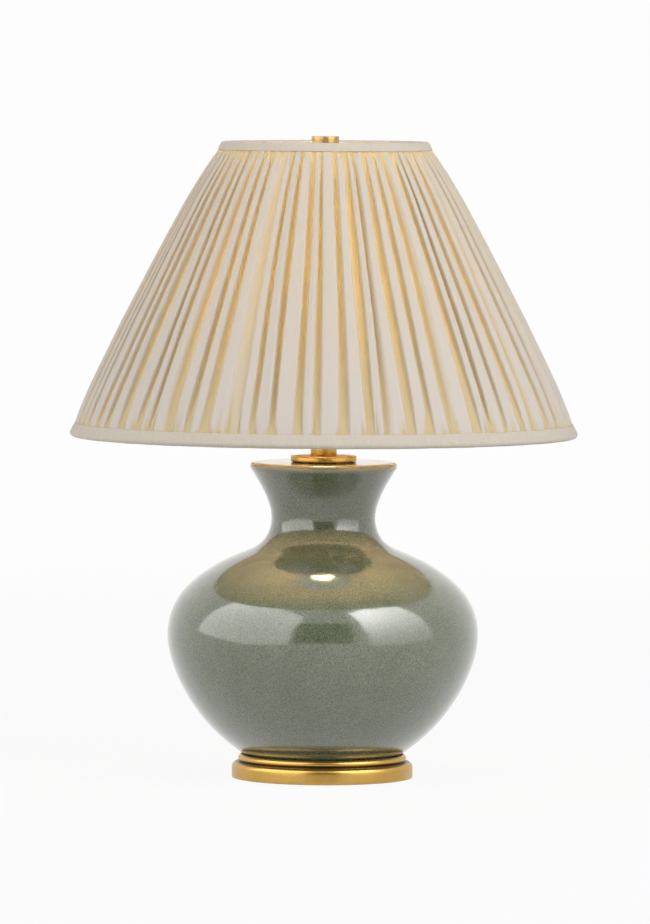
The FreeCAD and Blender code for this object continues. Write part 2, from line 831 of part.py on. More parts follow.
def tape(ring_down, outer_length, turn, inner_length, toward):
    # A strip folded over a ring wire: `toward` is +1 where it runs down the slant and -1 where it runs up.
    reach = (tape_outside - tape_inside) / 2
    hollow = reach - tape_thickness
    outer_end = ring_down + toward * outer_length
    inner_end = ring_down + toward * inner_length
    steps = [
        slant_point(outer_end + toward * tape_thickness / 3, tape_outside - tape_thickness / 2),
        slant_point(outer_end, tape_outside),
        slant_point(ring_down, tape_outside),
        (over_ring(ring_down, toward, reach, turn / 2), over_ring(ring_down, toward, reach, turn))]
    if inner_length > 0:
        steps.append(slant_point(inner_end, tape_inside))
        steps.append(slant_point(inner_end, tape_inside + tape_thickness))
    for share in (1, 0.67, 0.33, 0):
        steps.append(over_ring(ring_down, toward, hollow, turn * share))
    return turned(slant_point(outer_end, tape_outside - tape_thickness), *steps)


def make_shade_top_trim():
    return tape(0, tape_top_height, tape_top_turn, 0, 1)


def make_shade_bottom_trim():
    return tape(slant_length, tape_bottom_height, 180, tape_inner_height, -1)


def fold_angle(k):
    # The gathers are not quite even: each fold is a little before or behind its even place.
    return 2 * math.pi / fold_count * (k + 0.17 * math.sin(2.3 * k) + 0.10 * math.sin(5.1 * k + 1))


def fold_section(down, depth):
    # Outer and inner outlines of the gathered cloth at one level, as lists of edges.
    low_outside = cloth_outside
    low_inside = cloth_inside
    height = ring_top_height - down * slant_cosine
    outer = []
    inner = []
    for k in range(fold_count):
        start = fold_angle(k)
        end = fold_angle((k + 1) % fold_count) + (2 * math.pi if k == fold_count - 1 else 0)
        pitch = end - start
        crest = pitch * fold_crest_share
        wall = pitch * 0.06

        def at(angle, offset):
            radius = shade_top_radius + down * slant_sine + offset / slant_cosine
            return Vector(radius * math.cos(angle), radius * math.sin(angle), height)

        foot = at(start, low_outside)
        shoulder = at(start + wall, low_outside + depth * 0.72)
        top = at(start + crest / 2, low_outside + depth)
        far_shoulder = at(start + crest - wall, low_outside + depth * 0.72)
        far_foot = at(start + crest, low_outside)
        next_foot = at(end, low_outside)
        outer.append(Part.makeLine(foot, shoulder))
        outer.append(Part.Arc(shoulder, top, far_shoulder).toShape())
        outer.append(Part.makeLine(far_shoulder, far_foot))
        outer.append(Part.makeLine(far_foot, next_foot))
        room = depth * 0.8
        near_side = at(start + 2.2 * wall, low_inside)
        peak = at(start + crest / 2, low_inside + room)
        far_side = at(start + crest - 2.2 * wall, low_inside)
        next_side = at(end + 2.2 * wall, low_inside)
        inner.append((near_side, peak, far_side))
    lines = []
    for k in range(fold_count):
        near_side, peak, far_side = inner[k]
        following = inner[(k + 1) % fold_count][0]
        lines.append(Part.makeLine(near_side, peak))
        lines.append(Part.makeLine(peak, far_side))
        lines.append(Part.makeLine(far_side, following))
    return Part.Wire(outer), Part.Wire(lines)


def make_shade_fabric():
    # Gathered cloth from ring to ring: rounded crests, steep walls and narrow valleys.
    outer_wires = []
    inner_wires = []
    free_start = tape_top_height
    free_end = slant_length - tape_bottom_height - tape_slope
    levels = [(0, pressed_fold), (free_start, pressed_fold)]
    for share, depth in fold_depths:
        levels.append((free_start + (free_end - free_start) * share, depth))
    levels += [(free_end, pressed_fold), (slant_length - tape_slope, pressed_fold)]
    for down, depth in levels:
        outer, inner = fold_section(down, depth)
        outer_wires.append(outer)
        inner_wires.append(inner)
    outside = Part.makeLoft(outer_wires, False, True)
    inside = Part.makeLoft(inner_wires, False, True)
    top = Part.Face([outer_wires[0], inner_wires[0].reversed()])
    bottom = Part.Face([outer_wires[-1], inner_wires[-1].reversed()])
    shell = Part.makeShell(outside.Faces + inside.Faces + [top, bottom])
    shell.sewShape()
    return Part.makeSolid(shell)


# ---------------------------------------------------------------- finial

def make_finial():
    stem_top = finial_bottom + finial_stem_height
    top = stem_top + finial_cap_height
    low = (finial_cap_radius - finial_edge_round, stem_top)
    low_side = (finial_cap_radius, stem_top + finial_edge_round)
    high_side = (finial_cap_radius, top - finial_edge_round)
    high = (finial_cap_radius - finial_edge_round, top)
    bore = stud_thread_radius + slip_fit
    return turned(
        (bore, finial_bottom),
        (finial_stem_radius, finial_bottom),
        (finial_stem_radius, stem_top),
        low,
        (quarter(low, low_side, False), low_side),
        high_side,
        (quarter(high_side, high, True), high),
        (0, top),
        (0, finial_bottom + finial_bore_depth),
        (bore, finial_bottom + finial_bore_depth))


def make_all():
    return {
        "felt_pad": make_felt_pad(),
        "base_cup": make_base_cup(),
        "cord_bushing": make_cord_bushing(),
        "base_washer": make_base_washer(),
        "base_lock_washer": make_base_lock_washer(),
        "base_nut": make_base_nut(),
        "lamp_pipe": make_lamp_pipe(),
        "jar_foot_gasket": make_jar_foot_gasket(),
        "jar": make_jar(),
        "cap_gasket": make_cap_gasket(),
        "check_plate": make_check_plate(),
        "neck_tube": make_neck_tube(),
        "neck_cap": make_neck_cap(),
        "harp_saddle": make_harp_saddle(),
        "saddle_nut": make_saddle_nut(),
        "harp": make_harp(),
        "harp_sleeve_left": make_harp_sleeve(-1),
        "harp_sleeve_right": make_harp_sleeve(1),
        "harp_stud": make_harp_stud(),
        "socket_cap": make_socket_cap(),
        "socket_shell": make_socket_shell(),
        "socket_liner": make_socket_liner(),
        "switch_body": make_switch_body(),
        "terminal_screw_brass": make_terminal_screw(-1),
        "terminal_screw_silver": make_terminal_screw(1),
        "screw_shell": make_screw_shell(),
        "socket_contact": make_socket_contact(),
        "switch_knob": make_switch_knob(),
        "bulb_tip": make_bulb_tip(),
        "bulb_insulator": make_bulb_insulator(),
        "bulb_cap": make_bulb_cap(),
        "bulb_glass": make_bulb_glass(),
        "bulb_filament": make_bulb_filament(),
        "shade_spider": make_shade_spider(),
        "shade_top_ring": make_shade_top_ring(),
        "shade_bottom_ring": make_shade_bottom_ring(),
        "shade_ribs": make_shade_ribs(),
        "shade_lining": make_shade_lining(),
        "shade_fabric": make_shade_fabric(),
        "shade_top_trim": make_shade_top_trim(),
        "shade_bottom_trim": make_shade_bottom_trim(),
        "finial": make_finial(),
    }


os.makedirs("parts", exist_ok=True)
pieces = make_all()
for name, shape in pieces.items():
    if not shape.isValid():
        print("not valid:", name)
    shape.exportStep("parts/" + name + ".step")
cloth = pieces["shade_fabric"]
print("cloth volume in cubic centimetres:", round(cloth.Volume / 1000, 1))
print("pieces:", len(pieces), "top of the lamp:", round(max(s.BoundBox.ZMax for s in pieces.values()), 2))
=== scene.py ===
import math
import random

import bpy
import numpy as np
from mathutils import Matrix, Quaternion, Vector


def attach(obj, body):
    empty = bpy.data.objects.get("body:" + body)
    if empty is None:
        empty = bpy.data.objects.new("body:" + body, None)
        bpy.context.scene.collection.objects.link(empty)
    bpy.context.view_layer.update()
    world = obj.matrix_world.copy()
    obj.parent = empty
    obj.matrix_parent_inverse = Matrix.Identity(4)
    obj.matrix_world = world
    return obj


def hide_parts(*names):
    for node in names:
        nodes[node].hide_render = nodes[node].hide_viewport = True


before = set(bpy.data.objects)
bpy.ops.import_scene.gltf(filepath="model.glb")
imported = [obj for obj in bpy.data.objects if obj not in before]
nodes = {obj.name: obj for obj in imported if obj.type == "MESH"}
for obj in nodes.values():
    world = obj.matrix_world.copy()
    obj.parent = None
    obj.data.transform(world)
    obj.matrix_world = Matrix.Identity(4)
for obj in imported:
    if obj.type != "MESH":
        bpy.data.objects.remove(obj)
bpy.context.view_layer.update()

mm = 0.001
print("frame loaded:", len(nodes), "nodes")

# the camera stands at the photo's viewpoint
cameraSettings = {
    "lens": 327.3,      # millimetres, from far off
    "place": (-0.0009, -8.43, 0.7613),
    "down": 3.01,       # degrees below level
    "lean": -0.29,      # the photo leans a little
}


def makeCamera(s):
    data = bpy.data.cameras.new("camera")
    data.lens = s["lens"]
    data.sensor_width = 36
    data.clip_end = 200
    camera = bpy.data.objects.new("camera", data)
    camera.location = s["place"]
    camera.rotation_euler = (math.radians(90 - s["down"]), math.radians(s["lean"]), 0)
    bpy.context.scene.collection.objects.link(camera)
    bpy.context.scene.camera = camera


makeCamera(cameraSettings)
bpy.context.scene.view_settings.view_transform = "Standard"
print("camera placed")


def smoothLine(points, count):
    # natural cubic curve through the points, spaced by their distances, read off at count places
    p = np.array(points, float)
    t = np.concatenate([[0], np.cumsum(np.linalg.norm(np.diff(p, axis=0), axis=1))])
    n = len(p)
    h = np.diff(t)
    a = np.eye(n)
    b = np.zeros((n, p.shape[1]))
    for i in range(1, n - 1):
        a[i, i - 1:i + 2] = h[i - 1], 2 * (h[i - 1] + h[i]), h[i]
        b[i] = 6 * ((p[i + 1] - p[i]) / h[i] - (p[i] - p[i - 1]) / h[i - 1])
    m = np.linalg.solve(a, b)
    out = []
    for s in np.linspace(0, t[-1], count):
        i = min(max(int(np.searchsorted(t, s, side="right")) - 1, 0), n - 2)
        u, v = s - t[i], t[i + 1] - s
        out.append((m[i] * v ** 3 + m[i + 1] * u ** 3) / (6 * h[i])
                   + (p[i] / h[i] - m[i] * h[i] / 6) * v + (p[i + 1] / h[i] - m[i + 1] * h[i] / 6) * u)
    return [tuple(x) for x in out]


def roundCorner(before, corner, after, size, steps=4):
    # replaces a corner by a short quarter curve
    b, c, a = (np.array(x, float) for x in (before, corner, after))
    first = c + (b - c) / np.linalg.norm(b - c) * size
    last = c + (a - c) / np.linalg.norm(a - c) * size
    return [tuple((1 - t) ** 2 * first + 2 * t * (1 - t) * c + t ** 2 * last)
            for t in np.linspace(0, 1, steps + 1)]


def roundedOutline(points, sizes, steps=4):
    out = [points[0]]
    for k in range(1, len(points) - 1):
        if sizes[k] > 0:
            out += roundCorner(points[k - 1], points[k], points[k + 1], sizes[k], steps)
        else:
            out.append(points[k])
    return out + [points[-1]]


def gridMesh(name, rows, closedAround=True, uvs=None, smooth=True):
    # rows: array (row, column, 3); joins neighbours into quads, and the last column to the first
    rows = np.asarray(rows, float)
    nRows, nCols = rows.shape[:2]
    last = nCols if closedAround else nCols - 1
    faces = []
    for i in range(nRows - 1):
        for j in range(last):
            k = (j + 1) % nCols
            faces.append((i * nCols + j, i * nCols + k, (i + 1) * nCols + k, (i + 1) * nCols + j))
    mesh = bpy.data.meshes.new(name)
    mesh.from_pydata(rows.reshape(-1, 3).tolist(), [], faces)
    if uvs is not None:
        layer = mesh.uv_layers.new(name="cloth")
        spots = []
        for i in range(nRows - 1):
            for j in range(last):
                spots += [uvs[i][j], uvs[i][j + 1], uvs[i + 1][j + 1], uvs[i + 1][j]]
        layer.data.foreach_set("uv", np.array(spots, np.float32).ravel())
    mesh.polygons.foreach_set("use_smooth", [smooth] * len(mesh.polygons))
    mesh.update()
    piece = bpy.data.objects.new(name, mesh)
    bpy.context.scene.collection.objects.link(piece)
    return piece


def addPiece(piece, body, slot, material, *replaced):
    piece.data.materials.append(material)
    if replaced:
        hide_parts(*replaced)
    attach(piece, body)
    return piece


def turnedPiece(name, outline, steps=160, wobble=None):
    # outline of (radius, height) pairs in millimetres, turned once round; wobble(angle, r, z) moves a point
    rows = []
    for r, z in outline:
        row = []
        for k in range(steps):
            angle = 2 * math.pi * k / steps
            dr, dz = wobble(angle, r, z) if wobble else (0, 0)
            row.append(((r + dr) * mm * math.cos(angle), (r + dr) * mm * math.sin(angle), (z + dz) * mm))
        rows.append(row)
    return gridMesh(name, rows)


def keepEdges(piece, angle=40):
    # sharp edges stay sharp while the rest is smooth
    mesh = piece.data
    normals = {}
    for face in mesh.polygons:
        for key in face.edge_keys:
            normals.setdefault(key, []).append(face.normal.copy())
    limit = math.cos(math.radians(angle))
    for edge in mesh.edges:
        pair = normals.get(edge.key, [])
        if len(pair) == 2 and pair[0].dot(pair[1]) < limit:
            edge.use_edge_sharp = True


class Paint:
    # one material: its shader, and quick ways to add and join nodes
    def __init__(self, name):
        self.material = bpy.data.materials.new(name)
        self.material.use_nodes = True
        self.tree = self.material.node_tree
        self.tree.nodes.clear()
        self.out = self.tree.nodes.new("ShaderNodeOutputMaterial")
        self.shader = self.add("ShaderNodeBsdfPrincipled")
        self.join(self.shader.outputs[0], self.out.inputs["Surface"])

    def add(self, kind, **sockets):
        node = self.tree.nodes.new(kind)
        for key, value in sockets.items():
            node.inputs[key].default_value = value
        return node

    def join(self, source, target):
        self.tree.links.new(source, target)

    def set(self, **sockets):
        for key, value in sockets.items():
            self.shader.inputs[key.replace("_", " ")].default_value = value

    def math(self, operation, a, b=0.0):
        node = self.tree.nodes.new("ShaderNodeMath")
        node.operation = operation
        for k, value in enumerate((a, b)):
            if isinstance(value, (int, float)):
                node.inputs[k].default_value = value
            else:
                self.join(value, node.inputs[k])
        return node.outputs[0]

    def place(self, scale=(1, 1, 1), uv=False):
        coords = self.tree.nodes.new("ShaderNodeTexCoord")
        mapping = self.tree.nodes.new("ShaderNodeMapping")
        mapping.inputs["Scale"].default_value = scale
        self.join(coords.outputs["UV" if uv else "Object"], mapping.inputs["Vector"])
        return mapping.outputs[0]

    def turned(self, across=1.0, around=1.0, along=1.0):
        # coordinates of a turned piece: (radius, angle, height), each with its own scale
        coords = self.tree.nodes.new("ShaderNodeTexCoord")
        x, y, z = self.split(coords.outputs["Object"])
        radius = self.math("SQRT", self.math("ADD", self.math("MULTIPLY", x, x), self.math("MULTIPLY", y, y)))
        angle = self.math("ARCTAN2", y, x)
        joined = self.tree.nodes.new("ShaderNodeCombineXYZ")
        self.join(self.math("MULTIPLY", radius, across), joined.inputs[0])
        self.join(self.math("MULTIPLY", angle, around), joined.inputs[1])
        self.join(self.math("MULTIPLY", z, along), joined.inputs[2])
        return joined.outputs[0]

    def noise(self, vector, scale, detail=3.0, roughness=0.5):
        node = self.add("ShaderNodeTexNoise", Scale=scale, Detail=detail, Roughness=roughness)
        self.join(vector, node.inputs["Vector"])
        return node.outputs["Fac"]

    def wave(self, vector, scale, distortion=0.0, direction="X"):
        node = self.add("ShaderNodeTexWave", Scale=scale, Distortion=distortion, Detail=1.0)
        node.bands_direction = direction
        self.join(vector, node.inputs["Vector"])
        return node.outputs["Fac"]

    def ramp(self, source, *stops):
        # stops: (place, colour or grey)
        node = self.tree.nodes.new("ShaderNodeValToRGB")
        while len(node.color_ramp.elements) < len(stops):
            node.color_ramp.elements.new(0.5)
        for element, (place, colour) in zip(node.color_ramp.elements, stops):
            element.position = place
            element.color = (*((colour,) * 3 if isinstance(colour, (int, float)) else colour), 1)
        self.join(source, node.inputs[0])
        return node.outputs[0]

    def blend(self, factor, a, b):
        node = self.tree.nodes.new("ShaderNodeMix")
        node.data_type = "RGBA"
        for socket, value in ((node.inputs[0], factor), (node.inputs[6], a), (node.inputs[7], b)):
            if isinstance(value, (int, float)):
                socket.default_value = value
            elif isinstance(value, tuple):
                socket.default_value = (*value, 1)
            else:
                self.join(value, socket)
        return node.outputs[2]

    def span(self, source, low, high, least, most):
        # carries low..high over to least..most
        node = self.tree.nodes.new("ShaderNodeMapRange")
        for key, value in (("From Min", low), ("From Max", high), ("To Min", least), ("To Max", most)):
            node.inputs[key].default_value = value
        self.join(source, node.inputs["Value"])
        return node.outputs[0]

    def split(self, vector):
        node = self.tree.nodes.new("ShaderNodeSeparateXYZ")
        self.join(vector, node.inputs[0])
        return node.outputs

    def cover(self, factor, over):
        # the shader where factor is 0, and over where it is 1
        mix = self.tree.nodes.new("ShaderNodeMixShader")
        if isinstance(factor, float):
            mix.inputs[0].default_value = factor
        else:
            self.join(factor, mix.inputs[0])
        self.join(self.shader.outputs[0], mix.inputs[1])
        self.join(over.outputs[0], mix.inputs[2])
        self.join(mix.outputs[0], self.out.inputs["Surface"])

    def colour(self, source):
        self.join(source, self.shader.inputs["Base Color"])

    def rough(self, source, low, high):
        self.join(self.span(source, 0.0, 1.0, low, high), self.shader.inputs["Roughness"])

    def bump(self, source, distance, strength=1.0, below=None):
        node = self.add("ShaderNodeBump", Strength=strength, Distance=distance)
        self.join(source, node.inputs["Height"])
        if below is not None:
            self.join(below, node.inputs["Normal"])
        self.join(node.outputs[0], self.shader.inputs["Normal"])
        return node.outputs[0]


def metalPaint(name, colour, dark, roughness, brushed=True, brushDepth=0.00002):
    # turned metal: fine rings from the lathe, a little tarnish in patches
    p = Paint(name)
    p.set(Metallic=1.0, Anisotropic=0.5)
    rings = p.noise(p.turned(1.0, 0.004, 1.0) if brushed else p.place(), 2600 if brushed else 900, 2.0)
    patches = p.noise(p.place(), 38, 4.0, 0.6)
    p.colour(p.blend(p.ramp(patches, (0.35, 0.0), (0.75, 1.0)), colour, dark))
    p.rough(p.blend(0.5, rings, patches), roughness * 0.8, roughness * 1.25)
    p.bump(rings, brushDepth, 0.6)
    return p


def weavePaint(name, colour, dark, threads):
    # plain weave pressed flat: two sets of threads, and slubs
    p = Paint(name)
    p.set(Roughness=0.85, Specular_IOR_Level=0.25)
    slub = p.noise(p.place((1, 1, 0.12)), threads * 0.9, 3.0)
    warp, weft = (p.wave(p.place(), threads, 0.6, way) for way in "XZ")
    p.colour(p.blend(p.ramp(slub, (0.3, 0.0), (0.8, 1.0)), colour, dark))
    p.bump(p.math("ADD", p.math("MULTIPLY", warp, weft), slub), 0.00005, 0.8)
    return p.material


roomSettings = {
    # near the lamp the floor shows a little of its own light and shadow, and further off it is plain white
    "floor": {"size": 90.0, "paper": (0.62, 0.66), "near": 0.5, "far": 3.5, "nearWhite": 0.93},
    "white": (0.985, 0.985, 0.985, 1),
    "worldLight": 0.26,      # what the room gives the matt surfaces
    # soft boxes: low is the brightness at the bottom edge and outer at the far side, as shares of bright;
    # roll turns a box in its own plane
    "leftBox": {"azimuth": -60, "height": 1.45, "width": 3.2, "tall": 2.8, "away": 1.9, "bright": 2.25,
                "roll": -11, "low": 0.55, "outer": 1.35},
    "rightBox": {"azimuth": 55.5, "height": 1.42, "width": 1.9, "tall": 2.8, "away": 1.9, "bright": 7.0,
                 "roll": 9, "low": 0.14, "outer": 0.62},
    "topBox": {"bright": 0.08, "size": 1.6, "height": 2.6},
    "card": {"away": 9.4, "half": 3.9, "tall": 6.0},
}


def seenDirectly(tree):
    # 1 for camera, glossy and transmission rays
    path = tree.nodes.new("ShaderNodeLightPath")
    total = path.outputs["Is Camera Ray"]
    for name in ("Is Glossy Ray", "Is Transmission Ray"):
        node = tree.nodes.new("ShaderNodeMath")
        node.operation = "MAXIMUM"
        tree.links.new(total, node.inputs[0])
        tree.links.new(path.outputs[name], node.inputs[1])
        total = node.outputs[0]
    return total


def makeWorld(s):
    world = bpy.data.worlds.new("studio")
    bpy.context.scene.world = world
    world.use_nodes = True
    tree = world.node_tree
    tree.nodes.clear()
    out = tree.nodes.new("ShaderNodeOutputWorld")
    light = tree.nodes.new("ShaderNodeBackground")
    light.inputs["Color"].default_value = (1.0, 0.985, 0.96, 1)
    light.inputs["Strength"].default_value = s["worldLight"]
    white = tree.nodes.new("ShaderNodeBackground")
    white.inputs["Color"].default_value = s["white"]
    mix = tree.nodes.new("ShaderNodeMixShader")
    tree.links.new(seenDirectly(tree), mix.inputs[0])
    tree.links.new(light.outputs[0], mix.inputs[1])
    tree.links.new(white.outputs[0], mix.inputs[2])
    tree.links.new(mix.outputs[0], out.inputs[0])


def makeFloor(s, white):
    half = s["size"] / 2
    cuts = [-half, -6, -2, 0, 2, 6, half]
    floor = gridMesh("floor", [[(x, y, 0) for x in cuts] for y in cuts], closedAround=False, smooth=False)
    p = Paint("floorPaper")
    p.set(Roughness=0.9, Specular_IOR_Level=0.1)
    p.colour(p.ramp(p.noise(p.place(), 3.0), (0.0, s["paper"][0]), (1.0, s["paper"][1])))
    distance = p.tree.nodes.new("ShaderNodeVectorMath")
    distance.operation = "LENGTH"
    p.join(p.place(), distance.inputs[0])
    share = p.span(distance.outputs["Value"], s["near"], s["far"], s["nearWhite"], 1.0)
    p.cover(p.math("MULTIPLY", seenDirectly(p.tree), share), p.add("ShaderNodeEmission", Color=white))
    floor.data.materials.append(p.material)


def makeCard(s):
    # a dark card behind the camera, so that glaze and brass have something dark to show
    rows = [[(x, -s["away"] - 0.02 * abs(x), z) for x in np.linspace(-s["half"], s["half"], 5)]
            for z in (0.02, s["tall"])]
    card = gridMesh("darkCard", rows, closedAround=False, smooth=False)
    p = Paint("cardBlack")
    p.set(Roughness=0.9, Specular_IOR_Level=0.1)
    p.colour(p.ramp(p.noise(p.place(), 2.0), (0.0, 0.05), (1.0, 0.08)))
    # the camera looks through it, from in front and from behind
    path = p.tree.nodes.new("ShaderNodeLightPath")
    p.cover(path.outputs["Is Camera Ray"], p.add("ShaderNodeBsdfTransparent"))
    card.data.materials.append(p.material)


def softBox(name, azimuth, height, width, tall, away, bright, roll, low, outer):
    # azimuth in degrees from the camera's side, towards +X; low and outer as in the settings
    data = bpy.data.lights.new(name, "AREA")
    data.shape = "RECTANGLE"
    data.size = width
    data.size_y = tall
    data.energy = bright * math.pi * width * tall
    data.use_nodes = True
    tree = data.node_tree
    spot = tree.nodes.new("ShaderNodeNewGeometry")
    split = tree.nodes.new("ShaderNodeSeparateXYZ")
    tree.links.new(spot.outputs["Parametric"], split.inputs[0])
    product = tree.nodes.new("ShaderNodeMath")
    product.operation = "MULTIPLY"
    for k, (least, inward) in enumerate(((outer, azimuth < 0), (low, True))):
        fade = tree.nodes.new("ShaderNodeMapRange")
        fade.interpolation_type = "SMOOTHSTEP"
        fade.inputs["From Min"].default_value = 0.0 if inward else 1.0
        fade.inputs["From Max"].default_value = 0.8 if inward else 0.2
        fade.inputs["To Min"].default_value = least
        tree.links.new(split.outputs[k], fade.inputs["Value"])
        tree.links.new(fade.outputs[0], product.inputs[k])
    for node in tree.nodes:
        if node.type == "EMISSION":
            tree.links.new(product.outputs[0], node.inputs["Strength"])
    lamp = bpy.data.objects.new(name, data)
    a = math.radians(azimuth)
    lamp.location = (away * math.sin(a), -away * math.cos(a), height)
    aim = (Vector((0, 0, height)) - lamp.location).to_track_quat("-Z", "Y")
    lamp.rotation_euler = (aim @ Quaternion((0, 0, 1), math.radians(roll))).to_euler()
    bpy.context.scene.collection.objects.link(lamp)


def makeRoom(s):
    makeWorld(s)
    makeFloor(s["floor"], s["white"])
    makeCard(s["card"])
    softBox("softBoxLeft", **s["leftBox"])
    softBox("softBoxRight", **s["rightBox"])
    top = s["topBox"]
    data = bpy.data.lights.new("softBoxTop", "AREA")
    data.size = top["size"]
    data.energy = top["bright"] * math.pi * top["size"] ** 2
    lamp = bpy.data.objects.new("softBoxTop", data)
    lamp.location = (0, -0.6, top["height"])
    lamp.rotation_euler = (Vector((0, 0, 0.4)) - lamp.location).to_track_quat("-Z", "Y").to_euler()
    bpy.context.scene.collection.objects.link(lamp)


makeRoom(roomSettings)
print("room and lamps made")


footSettings = {
    "radius": 91.0, "wall": 2.0, "edgeLift": 0.4, "straightTop": 11.5, "shoulderIn": 5.5, "shoulderRise": 5.1,
    "grooveDepth": 2.2, "grooveWidth": 0.6, "beadBulge": 1.2, "beadIn": 1.1, "top": 24.0,
    "rimInner": 80.3, "plate": 21.5,
    "hidden": 72.0,     # the plate ends here, out of sight under the jar
    # the near-black colour below is painted shade for the groove and for the seat under the jar
    "brass": (0.56, 0.34, 0.09), "tarnish": (0.47, 0.28, 0.065), "footShade": (0.07, 0.045, 0.018), "roughness": 0.27,
}


def makeFoot(s):
    shoulder = s["radius"] - s["shoulderIn"]
    shoulderTop = s["straightTop"] + s["shoulderRise"]
    groove = shoulder - s["grooveDepth"]
    grooveTop = shoulderTop + s["grooveWidth"]
    inner = s["radius"] - s["wall"]
    line = [(inner, s["straightTop"]), (inner, s["edgeLift"])]
    line += roundCorner((inner, s["edgeLift"]), (s["radius"], s["edgeLift"]), (s["radius"], s["straightTop"]), 1.2)
    line += [(s["radius"], 4.0), (s["radius"], 8.0), (s["radius"], s["straightTop"])]
    for k in range(1, 9):
        a = math.pi / 2 * k / 8
        line.append((shoulder + s["shoulderIn"] * math.cos(a),
                     s["straightTop"] + s["shoulderRise"] * math.sin(a)))
    line += [(groove + 0.25, shoulderTop), (groove, shoulderTop + 0.15), (groove, grooveTop - 0.12)]
    middle = (grooveTop + s["top"]) / 2
    half = (s["top"] - grooveTop) / 2
    for k in range(0, 11):
        share = -1 + 2 * k / 10
        bulge = (s["beadBulge"] + 0.55) * (1 - share * share)
        line.append((groove - s["beadIn"] * (share + 1) / 2 + bulge, middle + half * share))
    line += roundCorner(line[-1], (s["rimInner"], s["top"]), (s["rimInner"], s["plate"]), 0.9)
    line += [(s["rimInner"], s["plate"]), (s["hidden"], s["plate"])]
    base = turnedPiece("baseCup", line, 224)
    keepEdges(base)
    brass = metalPaint("footBrass", s["brass"], s["tarnish"], s["roughness"]).material
    shadedBrass = metalPaint("footBrassPaintedShade", s["brass"], s["tarnish"], s["roughness"])
    # painted shade: the groove and the seat behind the rim, under the jar, are darkened in the colour
    across, around, height = shadedBrass.split(shadedBrass.turned())
    grooveMiddle = (shoulderTop + grooveTop) / 2 * mm + 0.0002
    fromGroove = shadedBrass.math("ABSOLUTE", shadedBrass.math("SUBTRACT", height, grooveMiddle))
    paintedShade = shadedBrass.math("MAXIMUM", shadedBrass.ramp(shadedBrass.math("MULTIPLY", fromGroove, 400), (0.20, 1.0), (0.42, 0.0)),
                      shadedBrass.ramp(shadedBrass.math("MULTIPLY", across, 10), (0.802, 1.0), (0.812, 0.0)))
    clean = shadedBrass.shader.inputs["Base Color"].links[0].from_socket
    shadedBrass.colour(shadedBrass.blend(paintedShade, clean, s["footShade"]))
    addPiece(base, "base", "brass", shadedBrass.material, "base_cup")

    def fray(angle, r, z):
        return (0.25 * math.sin(37 * angle) * math.sin(91 * angle) if r > 80 else 0, 0)

    felt = turnedPiece("feltPad", [(0.4, 0.0), (40, 0.0), (87.6, 0.0), (88.3, 0.35), (88.4, 1.6), (88.0, 2.0),
                                   (60, 2.0), (0.4, 2.0)], 200, fray)
    p = Paint("greenFelt")
    p.set(Roughness=0.95, Sheen_Weight=0.5, Sheen_Roughness=0.5, Specular_IOR_Level=0.1)
    fibres = p.noise(p.place(), 1400, 5.0, 0.7)
    p.colour(p.ramp(fibres, (0.3, (0.016, 0.018, 0.014)), (0.8, (0.05, 0.055, 0.045))))
    p.bump(fibres, 0.0004)
    addPiece(felt, "base", "felt", p.material, "felt_pad")
    return brass


footBrass = makeFoot(footSettings)
print("foot made")


jarSettings = {
    "foot": (77.6, 22.5), "belly": (156.2, 147.4), "neck": (52.3, 260.0), "lip": (73.6, 312.0),
    "toBelly": [(0, 0), (0.354, 0.178), (0.679, 0.420), (0.915, 0.709)],
    "toNeck": [(0, 0), (0.079, 0.268), (0.363, 0.536), (0.693, 0.697), (0.912, 0.805)],
    "toLip": [(0, 0), (0.188, 0.390), (0.601, 0.738), (1, 1)],
    "top": 318.0, "topRadius": 70.0, "hole": 8.0,
    "glaze": (0.114, 0.137, 0.085), "speckle": (0.042, 0.050, 0.030), "pale": (0.148, 0.172, 0.114),
    # the tan colour for the lip is a painted reflection of the lit shade
    "fleck": (0.24, 0.26, 0.195), "thin": (0.30, 0.22, 0.10),
}


def makeGlaze(s):
    p = Paint("speckledGlaze")
    p.set(IOR=1.7, Coat_Weight=0.6, Coat_Roughness=0.05, Coat_IOR=1.5)
    spot = p.place()
    grains = p.noise(spot, 900, 2.0, 0.6)
    clouds = p.noise(spot, 22, 4.0, 0.55)
    body = p.blend(p.ramp(clouds, (0.35, 0.0), (0.7, 1.0)), s["glaze"], s["pale"])
    flecked = p.blend(p.ramp(p.noise(spot, 620, 3.0, 0.65), (0.52, 0.0), (0.70, 0.75)), body, s["fleck"])
    speckled = p.blend(p.ramp(grains, (0.34, 1.0), (0.54, 0.0)), flecked, s["speckle"])
    # painted reflection: a tan band over the lip stands in for the lit inside of the shade seen in the glaze
    lip = p.ramp(p.math("MULTIPLY", p.split(spot)[2], 3), (0.936, 0.0), (0.942, 0.8), (0.953, 0.8), (0.955, 0.0))
    p.colour(p.blend(lip, speckled, s["thin"]))
    p.rough(p.noise(spot, 60, 3.0), 0.10, 0.17)
    ripple = p.bump(p.noise(spot, 85, 2.0), 0.0006, 0.28)
    p.bump(p.noise(spot, 520, 2.0), 0.00012, 0.35, below=ripple)
    return p.material


